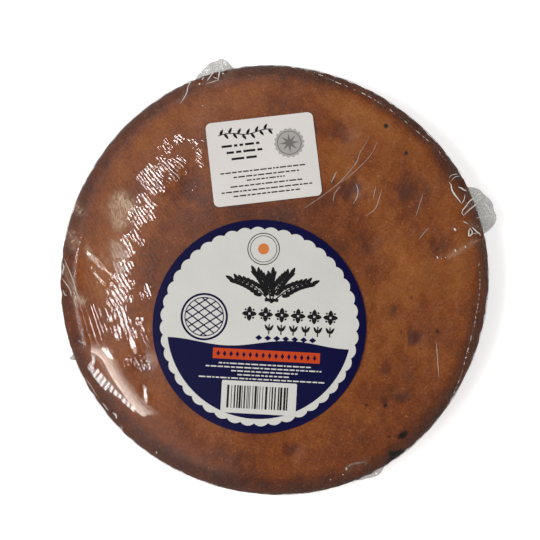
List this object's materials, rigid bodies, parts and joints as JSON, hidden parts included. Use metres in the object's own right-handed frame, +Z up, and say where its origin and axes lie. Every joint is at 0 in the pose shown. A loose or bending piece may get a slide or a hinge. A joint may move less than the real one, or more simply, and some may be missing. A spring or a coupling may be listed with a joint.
{
  "type": "wrapped breton butter cake",
  "caption": "Round, flat butter cake with a browned domed crust, shrunk tight into clear film with crumpled ears, a round printed paper label and a small white label on top.",
  "frame": {"origin": "centre of the flat base that the cake rests on, on the cake's axis", "axes": "+Z up out of the crust, +Y towards the edge nearest the small label, +X to the right as the labels are read"},
  "size_m": [0.2104, 0.2101, 0.0289],
  "materials": {
    "crust_in_film": "golden brown baked crust, darker at the rim, seen through clear glossy shrink film",
    "printed_paper": "satin paper printed in navy, white and orange-red",
    "white_paper": "satin white paper"
  },
  "bodies": {
    "root": {"wrapped_cake": "crust_in_film", "round_label": "printed_paper", "small_label": "white_paper"}
  },
  "joints": []
}
